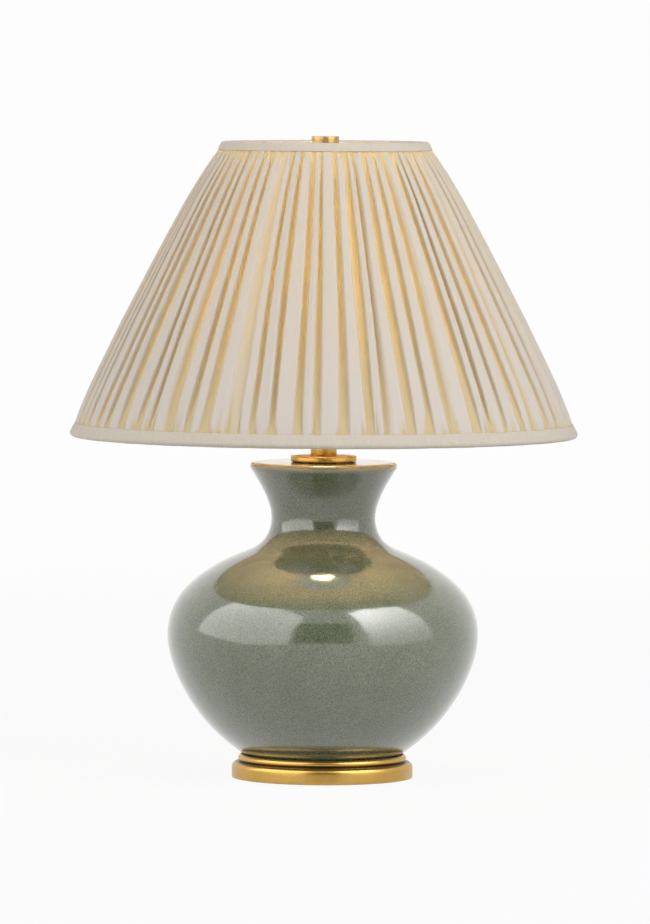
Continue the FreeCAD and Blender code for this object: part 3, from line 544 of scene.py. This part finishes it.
def makeJar(s):
    stops = []
    for start, end, shares in ((s["foot"], s["belly"], s["toBelly"]), (s["belly"], s["neck"], s["toNeck"]),
                               (s["neck"], s["lip"], s["toLip"])):
        for across, along in shares:
            stops.append((start[0] + (end[0] - start[0]) * across, start[1] + (end[1] - start[1]) * along))
    line = [(s["hole"] + 2, s["foot"][1]), (60.0, s["foot"][1]), (s["foot"][0] - 1.2, s["foot"][1]),
            (s["foot"][0] - 0.2, s["foot"][1] + 0.35)]
    line += smoothLine(stops, 150)[1:]
    lip, top = s["lip"], (s["topRadius"], s["top"])
    middle = ((lip[0] + top[0]) / 2 + 1.7, (lip[1] + top[1]) / 2 + 1.1)
    for t in np.linspace(0.12, 1, 9):
        a = (1 - t) ** 2
        b, c = 2 * t * (1 - t), t * t
        pull = (2 * middle[0] - (lip[0] + top[0]) / 2, 2 * middle[1] - (lip[1] + top[1]) / 2)
        line.append((a * lip[0] + b * pull[0] + c * top[0], a * lip[1] + b * pull[1] + c * top[1]))
    line += [(69.0, s["top"]), (60.0, s["top"] - 0.15), (45.0, s["top"]), (20.0, s["top"]), (s["hole"], s["top"])]
    jar = turnedPiece("glazedJar", line, 256)
    addPiece(jar, "base", "glaze", makeGlaze(s), "jar")


makeJar(jarSettings)
print("jar made")


neckSettings = {"plateRadius": 33.0, "plateBottom": 318.5, "plateTop": 324.5, "plateRound": 1.5,
                "tube": 13.1, "tubeTop": 366.0}
finialSettings = {"stem": 7.0, "stemBottom": 624.2, "stemTop": 636.2, "cap": 13.8, "top": 645.2,
                  "satin": (0.48, 0.34, 0.15), "satinDark": (0.39, 0.27, 0.11)}


def makeNeck(s, brass):
    r, low, high, c = s["plateRadius"], s["plateBottom"], s["plateTop"], s["plateRound"]
    outline = roundedOutline([(26.0, low), (r, low), (r, high), (s["tube"] - 1, high)], [0, c, c, 0], 5)
    plate = turnedPiece("checkPlate", outline, 160)
    addPiece(plate, "base", "brass", brass, "check_plate")
    tube = turnedPiece("neckTube", roundedOutline([(s["tube"] - 1.2, high), (s["tube"], high),
                                                   (s["tube"], s["tubeTop"]), (s["tube"] - 1.2, s["tubeTop"])],
                                                  [0, 0.15, 0.2, 0], 3), 128)
    addPiece(tube, "base", "brass", brass, "neck_tube")


def makeFinial(s):
    low, top, r = s["stemTop"], s["top"], s["cap"]
    outline = [(3.2, s["stemBottom"] + 8), (3.2, s["stemBottom"]), (s["stem"] - 0.3, s["stemBottom"]),
               (s["stem"], s["stemBottom"] + 0.3), (s["stem"], low - 2), (s["stem"] + 0.5, low)]
    outline += roundCorner((s["stem"], low), (r, low), (r, top), 0.8)
    outline += [(r, low + 3), (r, top - 3)]
    outline += roundCorner((r, low), (r, top), (0, top), 0.8)
    outline += [(r - 3, top), (6, top), (0.3, top)]
    finial = turnedPiece("finialKnob", outline, 128)
    satin = metalPaint("satinBrass", s["satin"], s["satinDark"], 0.34, brushDepth=0.00003).material
    addPiece(finial, "finial", "finial_brass", satin, "finial")


makeNeck(neckSettings, footBrass)
makeFinial(finialSettings)
print("neck and finial made")


shadeSettings = {
    "topRadius": 101.1, "topHeight": 636.4, "slant": 325.96, "sine": 0.4602, "cosine": 0.8878,
    "folds": 68, "crestShare": 0.65, "valley": 2.1, "seed": 23,
    # how far the crests stand off the slant line, down the slant
    "crest": [(0, 2.7), (6.5, 2.8), (8.3, 3.5), (19.3, 5.0), (31.3, 6.4), (43.3, 7.5), (66.8, 9.0), (101, 9.7),
              (135, 10.0), (169, 10.1), (203, 10.0), (237, 9.2), (271, 8.3), (292, 6.9), (303, 5.8), (311, 4.6),
              (316, 3.4), (318, 2.8), (324, 2.7)],
}


def slantPoint(s, down, offset):
    return (s["topRadius"] + down * s["sine"] + offset * s["cosine"],
            s["topHeight"] - down * s["cosine"] + offset * s["sine"])


def foldStart(s, k):
    # the gathers are not quite even
    n = s["folds"]
    turn, k = divmod(k, n)
    return 2 * math.pi * (turn + (k + 0.17 * math.sin(2.3 * k) + 0.10 * math.sin(5.1 * k + 1)) / n)


def cutCorners(ring):
    # rounds a closed ring of (angle, rise) once; the last point joins the first a whole turn on
    following = np.roll(ring, -1, axis=0)
    following[-1, 0] += 2 * math.pi
    out = np.empty((2 * len(ring), 2))
    out[0::2] = 0.75 * ring + 0.25 * following
    out[1::2] = 0.25 * ring + 0.75 * following
    return out


def foldHabits(s):
    # each fold's own width, softness, drift, tucks, and how deep the valley before it goes
    rng = random.Random(s["seed"])
    habits = []
    for k in range(s["folds"]):
        kind = rng.choice(["crisp", "crisp", "crisp", "softRight", "softLeft"])
        habits.append({
            "left": rng.uniform(-0.05, 0.05), "right": rng.uniform(-0.10, 0.08),
            "softLeft": rng.uniform(0.08, 0.2) if kind == "softLeft" else rng.uniform(0.02, 0.05),
            "softRight": rng.uniform(0.08, 0.2) if kind == "softRight" else rng.uniform(0.02, 0.05),
            "height": rng.uniform(0.84, 1.0), "tilt": rng.uniform(-0.10, 0.10),
            "valley": rng.uniform(0.35, 0.6) if rng.random() < 0.08 else rng.uniform(0.0, 0.10),
            "crease": rng.uniform(-0.02, 0.10), "creaseAt": rng.uniform(0.35, 0.65),
            "drift": rng.uniform(-0.16, 0.16), "sway": rng.uniform(0.0, 0.07), "phase": rng.uniform(0, 6.28),
            "widen": rng.uniform(-0.12, 0.12),
            "topTucks": [(rng.uniform(0.05, 0.95), rng.uniform(8, 30), rng.uniform(0.8, 1.8))
                         for _ in range(rng.choice([1, 1, 2, 2]))],
            "bottomTucks": [(rng.uniform(0.0, 1.0), rng.uniform(10, 52), rng.uniform(0.9, 2.4))
                            for _ in range(rng.choice([1, 2, 2, 3]))],
        })
    return habits


def foldRing(s, habits, down):
    # one level of the cloth: angles and rises, the rise going from 0 in a valley to 1 on a crest
    share = down / s["slant"]
    flare = math.sin(math.pi * min(max((down - 5) / (s["slant"] - 12), 0), 1))
    ring = []
    for k in range(s["folds"]):
        h, after = habits[k], habits[(k + 1) % s["folds"]]
        start, pitch = foldStart(s, k), foldStart(s, k + 1) - foldStart(s, k)
        drift = (h["drift"] * (share - 0.5) + h["sway"] * math.sin(5 * share + h["phase"])) * flare
        wide = h["widen"] * (share - 0.4)
        left = h["left"] * flare + drift - wide / 2
        right = s["crestShare"] + h["right"] * flare + drift + wide / 2
        gap = 1 - right + left
        tall, lean = h["height"], h["tilt"]
        lowL, lowR = h["valley"], after["valley"]
        softL, softR = h["softLeft"], h["softRight"]
        middle = left + (right - left) * h["creaseAt"]
        points = [
            (left - gap * 0.50, lowL),
            (left - gap * 0.25, lowL + 0.03),
            (left - gap * 0.08, lowL + 0.16 * (1 - lowL)),
            (left - 0.012 + softL * 0.35, tall * (0.58 + lean * 0.3)),
            (left + softL, tall * (0.90 + lean)),
            (left + softL + 0.06, tall * (0.99 + lean)),
            (middle, tall * (1.03 - h["crease"])),
            (right - softR - 0.06, tall * (0.99 - lean)),
            (right - softR, tall * (0.90 - lean)),
            (right + 0.012 - softR * 0.35, tall * (0.58 - lean * 0.3)),
            (right + gap * 0.08, lowR + 0.16 * (1 - lowR)),
            (right + gap * 0.25, lowR + 0.03),
        ]
        ring += [(start + t * pitch, rise) for t, rise in points]
    return cutCorners(np.array(ring)).T


def tuckDepth(angles, radius, starts, tucks, edge):
    # short creases that start at a tape and fade out within their length
    depth = np.zeros_like(angles)
    for k, own in enumerate(tucks):
        for where, long, wide in own:
            if edge < long:
                fade = 1 - max(edge, 0) / long
                centre = starts[k] + (starts[k + 1] - starts[k]) * where
                depth += fade * np.exp(-((angles - centre) * radius / (wide * (0.3 + 0.7 * fade))) ** 2)
    return depth


def makeCloth(s):
    habits = foldHabits(s)
    starts = [foldStart(s, k) for k in range(s["folds"] + 1)]
    downs = [0, 3, 5.5, 6.6, 7.4, 8.4, 9.6, 11, 12.6, 14.4, 16.5, 19, 22, 25.5, 29.5, 34, 39, 45]
    downs += list(np.linspace(52, 262, 26))
    downs += [269, 275, 281, 286.5, 291, 295, 298.5, 301.5, 304, 306.3, 308.4, 310.3, 312, 313.6, 315, 316.2, 317.2,
              319, 323]
    crestAt = np.array(s["crest"])
    grid, marks = [], []
    for down in downs:
        top = float(np.interp(down, crestAt[:, 0], crestAt[:, 1]))
        angles, rises = foldRing(s, habits, down)
        radius = s["topRadius"] + down * s["sine"]
        depth = max(top - s["valley"], 0.05)
        offset = s["valley"] + depth * rises
        tuck = tuckDepth(angles, radius, starts, [h["topTucks"] for h in habits], down - 6.5)
        tuck += tuckDepth(angles, radius, starts, [h["bottomTucks"] for h in habits], s["slant"] - 9.5 - down)
        offset -= np.minimum(2.4 * tuck, np.clip(offset - s["valley"] - 0.1, 0, None))
        r, z = slantPoint(s, down, offset)
        grid.append(np.stack([r * np.cos(angles), r * np.sin(angles), z], axis=1) * mm)
        marks.append(np.clip(1 - (offset - s["valley"]) / max(depth, 2.0), 0, 1) if depth > 0.7 else 0 * offset)
    grid = np.array(grid)
    # the weave follows the folds: across is measured along the cloth at mid height
    across = np.linalg.norm(np.diff(grid, axis=1, append=grid[:, :1]), axis=2)
    around = np.concatenate([np.zeros((len(grid), 1)), np.cumsum(across, axis=1)], axis=1)
    middle = around[len(grid) // 2]
    uvs = [[(float(x), -down * mm) for x in middle] for down in downs]
    cloth = gridMesh("gatheredCloth", grid, uvs=uvs)
    mark = cloth.data.attributes.new("valley", "FLOAT", "POINT")
    mark.data.foreach_set("value", np.array(marks).ravel().astype(np.float32))
    widest = around[:, -1].max()
    area = sum((around[i, -1] + around[i + 1, -1]) / 2 * (downs[i + 1] - downs[i]) * mm
               for i in range(len(grid) - 1))
    print("cloth:", len(cloth.data.polygons), "faces, cut", round(widest, 3), "m wide, area", round(area, 3))
    return cloth, float(widest), float(area)


clothLook = {
    # the valleys' warm colour is painted light, for the bulb shining through one layer of cloth
    "cream": (0.55, 0.495, 0.425), "creamDark": (0.505, 0.452, 0.378), "glowGold": (0.66, 0.55, 0.34),
    # the same near the bottom tape, where the bulb shines through less
    "creamLow": (0.525, 0.48, 0.434), "glowGoldLow": (0.52, 0.43, 0.27), "lowDown": 0.31, "highDown": 0.15,
    "valleyFrom": 0.22, "valleyTo": 0.85,       # how deep a place lies before it counts as valley
    "glow": 0.12, "glowColour": (1.0, 0.72, 0.30, 1), "lowGlow": 0.4,
    "throughCrest": (0.80, 0.66, 0.46), "throughValley": (0.98, 0.84, 0.50), "crestThin": 0.06, "valleyThin": 0.46,
}


def makeClothPaint(s):
    p = Paint("gatheredSatin")
    p.set(Roughness=0.8, Sheen_Weight=0.15, Sheen_Roughness=0.35, Specular_IOR_Level=0.25,
          Emission_Color=s["glowColour"])
    mark = p.tree.nodes.new("ShaderNodeAttribute")
    mark.attribute_name = "valley"
    deep = p.ramp(mark.outputs["Fac"], (s["valleyFrom"], 0.0), (s["valleyTo"], 1.0))
    slub = p.noise(p.place((1, 0.06, 1), uv=True), 1400, 3.0)
    upper = p.span(p.split(p.place(uv=True))[1], -s["lowDown"], -s["highDown"], 0.0, 1.0)
    cream = p.blend(p.ramp(slub, (0.3, 0.0), (0.8, 1.0)), s["cream"], s["creamDark"])
    # painted light: valleys turn warm where the bulb shines through, and the whole cloth less so down the shade
    p.colour(p.blend(deep, p.blend(upper, s["creamLow"], cream), p.blend(upper, s["glowGoldLow"], s["glowGold"])))
    warp, weft = (p.wave(p.place(uv=True), 640, 0.5, way) for way in "XY")
    p.bump(p.math("ADD", p.math("MULTIPLY", warp, weft), slub), 0.00010, 0.6)
    # where one layer of cloth lies over the light it lets light through, and an emission adds a painted glow; both
    # less down the shade
    light = p.math("ADD", p.math("MULTIPLY", upper, 1 - s["lowGlow"]), s["lowGlow"])
    glow = p.span(p.math("MULTIPLY", deep, light), 0.0, 1.0, 0.0, s["glow"])
    p.join(glow, p.shader.inputs["Emission Strength"])
    through = p.add("ShaderNodeBsdfTranslucent")
    p.join(p.blend(deep, s["throughCrest"], s["throughValley"]), through.inputs["Color"])
    thin = p.span(deep, 0.0, 1.0, s["crestThin"], s["valleyThin"])
    p.cover(p.math("MULTIPLY", thin, light), through)
    return p.material


tapeSettings = {"outside": 3.75, "inside": -3.1, "topLong": 7.0, "bottomLong": 9.8, "topInside": 5.0,
                "bottomInside": 6.0, "thick": 0.8, "linen": (0.52, 0.472, 0.40), "linenDark": (0.45, 0.405, 0.34)}


def tapeOutline(s, t, ringDown, toward, long, insideLong):
    # from the tape's outer edge round the ring to its inner edge; toward is 1 for the top tape, -1 below
    reach = (t["outside"] - t["inside"]) / 2
    centre = (t["outside"] + t["inside"]) / 2
    edge = ringDown + toward * long
    line = [(edge - toward * 0.4, t["outside"] - t["thick"]), (edge, t["outside"] - t["thick"] + 0.1),
            (edge + toward * 0.25, t["outside"] - t["thick"] / 2), (edge, t["outside"] - 0.08),
            (edge - toward * 0.7, t["outside"])]
    for k in range(1, 5):
        line.append((edge - toward * (0.7 + (long - 0.7) * k / 4), t["outside"]))
    for k in range(1, 15):
        a = math.pi * k / 14
        line.append((ringDown - toward * reach * math.sin(a), centre + reach * math.cos(a)))
    for k in range(1, 4):
        line.append((ringDown + toward * insideLong * k / 3, t["inside"]))
    line.append((ringDown + toward * insideLong, t["inside"] + t["thick"]))
    return [slantPoint(s, down, offset) for down, offset in line]


def makeTapes(s, t):
    p = Paint("foldedTape")
    p.set(Roughness=0.85, Sheen_Weight=0.2, Sheen_Roughness=0.4, Specular_IOR_Level=0.2)
    lines = p.noise(p.turned(0.2, 1.0, 0.10), 420, 2.0)
    cross = p.noise(p.turned(0.2, 0.02, 1.0), 2200, 2.0)
    dark = p.ramp(p.math("MULTIPLY", lines, cross), (0.12, 1.0), (0.36, 0.0))
    p.colour(p.blend(dark, t["linen"], t["linenDark"]))
    p.bump(p.math("ADD", lines, cross), 0.00012, 0.7)

    def lumps(angle, r, z):
        return (0.16 * math.sin(23 * angle + 1) * math.sin(61 * angle) + 0.08 * math.sin(151 * angle),
                0.10 * math.sin(17 * angle + 2) * math.sin(43 * angle))

    top = turnedPiece("topTape", tapeOutline(s, t, 0, 1, t["topLong"], t["topInside"]), 480, lumps)
    bottomLine = tapeOutline(s, t, s["slant"], -1, t["bottomLong"], t["bottomInside"])
    bottom = turnedPiece("bottomTape", bottomLine, 720, lumps)
    addPiece(top, "shade", "trim", p.material, "shade_top_trim")
    addPiece(bottom, "shade", "trim", p.material, "shade_bottom_trim")
    return top, bottom


liningSettings = {"gores": 12, "offset": -1.9, "topDown": 5.0, "dip": 1.6, "seam": 0.25,
                  "silk": (0.80, 0.74, 0.62), "silkDark": (0.74, 0.66, 0.52),
                  "through": (0.95, 0.80, 0.52, 1), "thin": 0.20}


def makeLining(s, t):
    # one tight gore between each pair of ribs, pulled in slightly, with a seam at each rib
    rows = []
    perGore = 14
    for down in np.linspace(t["topDown"], s["slant"] - 0.5, 26):
        row = []
        for k in range(t["gores"] * perGore):
            share = (k % perGore) / perGore
            angle = 2 * math.pi * (k / perGore + 0.5) / t["gores"]
            pull = 4 * share * (1 - share)
            edge = min(down - t["topDown"], s["slant"] - down) / 30
            offset = t["offset"] - t["dip"] * pull * min(max(edge, 0), 1)
            if share == 0:
                offset -= t["seam"]
            r, z = slantPoint(s, float(down), offset)
            row.append((r * mm * math.cos(angle), r * mm * math.sin(angle), z * mm))
        rows.append(row)
    lining = gridMesh("shadeLining", rows)
    p = Paint("liningSilk")
    p.set(Roughness=0.6, Sheen_Weight=0.15, Specular_IOR_Level=0.3)
    slub = p.noise(p.turned(0.5, 0.35, 0.12), 900, 3.0)
    p.colour(p.blend(p.ramp(slub, (0.3, 0.0), (0.8, 1.0)), t["silk"], t["silkDark"]))
    p.bump(slub, 0.00008, 0.5)
    p.cover(t["thin"], p.add("ShaderNodeBsdfTranslucent", Color=t["through"]))
    addPiece(lining, "shade", "lining", p.material, "shade_lining")
    return lining


def makeShade(s):
    cloth, widest, area = makeCloth(s)
    addPiece(cloth, "shade", "cloth", makeClothPaint(clothLook), "shade_fabric")
    top, bottom = makeTapes(s, tapeSettings)
    lining = makeLining(s, liningSettings)


makeShade(shadeSettings)
print("shade made")


bulbSettings = {"cap": 430.4, "neck": 12.4, "radius": 30.0, "top": 515.6, "glow": 42.0,
                "warm": (1.0, 0.74, 0.42), "pale": (1.0, 0.80, 0.52)}


def makeBulb(s):
    centre = s["top"] - s["radius"]
    line = [(s["neck"] - 0.5, s["cap"] - 5.5), (s["neck"], s["cap"] - 5)]
    line += smoothLine([(s["neck"], s["cap"]), (s["neck"] + 3.3, s["cap"] + 17), (24.4, centre - 17),
                        (s["radius"], centre)], 16)
    for k in range(1, 13):
        a = math.pi / 2 * k / 12.2
        line.append((s["radius"] * math.cos(a), centre + s["radius"] * math.sin(a)))
    bulb = turnedPiece("bulbGlass", line, 48)
    p = Paint("litGlass")
    p.set(Base_Color=(0.9, 0.88, 0.82, 1), Roughness=0.35, IOR=1.45, Emission_Strength=s["glow"])
    frost = p.noise(p.place(), 60, 3.0)
    p.join(p.ramp(frost, (0.2, s["warm"]), (0.9, s["pale"])), p.shader.inputs["Emission Color"])
    addPiece(bulb, "bulb", "bulb_glass", p.material, "bulb_glass")


makeBulb(bulbSettings)
print("bulb made")


def plasticPaint(name, colour, roughness):
    p = Paint(name)
    p.set(IOR=1.5)
    grain = p.noise(p.place(), 1600, 3.0)
    p.colour(p.ramp(grain, (0.2, tuple(c * 0.8 for c in colour)), (0.8, colour)))
    p.rough(p.noise(p.place(), 120, 3.0), roughness * 0.8, roughness * 1.2)
    p.bump(grain, 0.00004, 0.5)
    return p.material


def makeFinishes():
    brassWire = metalPaint("brassedWire", (0.62, 0.44, 0.18), (0.50, 0.34, 0.13), 0.3, brushed=False).material
    socket = metalPaint("socketBrass", (0.66, 0.48, 0.20), (0.56, 0.39, 0.15), 0.24).material
    zinc = metalPaint("zincPlate", (0.52, 0.53, 0.52), (0.40, 0.41, 0.41), 0.36, brushed=False).material
    nickel = metalPaint("nickelPlate", (0.62, 0.61, 0.58), (0.5, 0.49, 0.47), 0.25, brushed=False).material
    aluminium = metalPaint("rolledAluminium", (0.70, 0.70, 0.71), (0.58, 0.58, 0.6), 0.3).material
    contact = metalPaint("contactBrass", (0.72, 0.55, 0.25), (0.62, 0.45, 0.2), 0.26, brushed=False).material
    black = plasticPaint("mouldedBlack", (0.02, 0.018, 0.016), 0.35)
    phenolic = plasticPaint("phenolicBrown", (0.03, 0.02, 0.014), 0.42)
    rubber = plasticPaint("softRubber", (0.035, 0.035, 0.035), 0.7)
    card = weavePaint("fibreCard", (0.09, 0.07, 0.05), (0.05, 0.04, 0.03), 500)
    darkGlass = plasticPaint("blackGlass", (0.012, 0.012, 0.014), 0.12)
    post = plasticPaint("filamentPost", (0.75, 0.66, 0.5), 0.25)
    finishes = {
        brassWire: ["harp", "harp_saddle", "harp_sleeve_left", "harp_sleeve_right", "harp_stud", "shade_spider"],
        footBrass: ["neck_cap"],
        socket: ["socket_cap", "socket_shell"],
        zinc: ["base_washer", "base_lock_washer", "base_nut", "lamp_pipe", "saddle_nut", "shade_top_ring",
               "shade_bottom_ring", "shade_ribs"],
        nickel: ["terminal_screw_silver"],
        aluminium: ["bulb_cap"],
        contact: ["terminal_screw_brass", "screw_shell", "socket_contact", "bulb_tip"],
        black: ["switch_knob"],
        phenolic: ["switch_body", "cord_bushing"],
        rubber: ["jar_foot_gasket", "cap_gasket"],
        card: ["socket_liner"],
        darkGlass: ["bulb_insulator"],
        post: ["bulb_filament"],
    }
    for material, names in finishes.items():
        for name in names:
            for slot in nodes[name].material_slots:
                slot.link = "OBJECT"
                slot.material = material
    done = {n for names in finishes.values() for n in names}
    print("finishes on", len(done), "nodes; replaced:", len(nodes) - len(done))


makeFinishes()
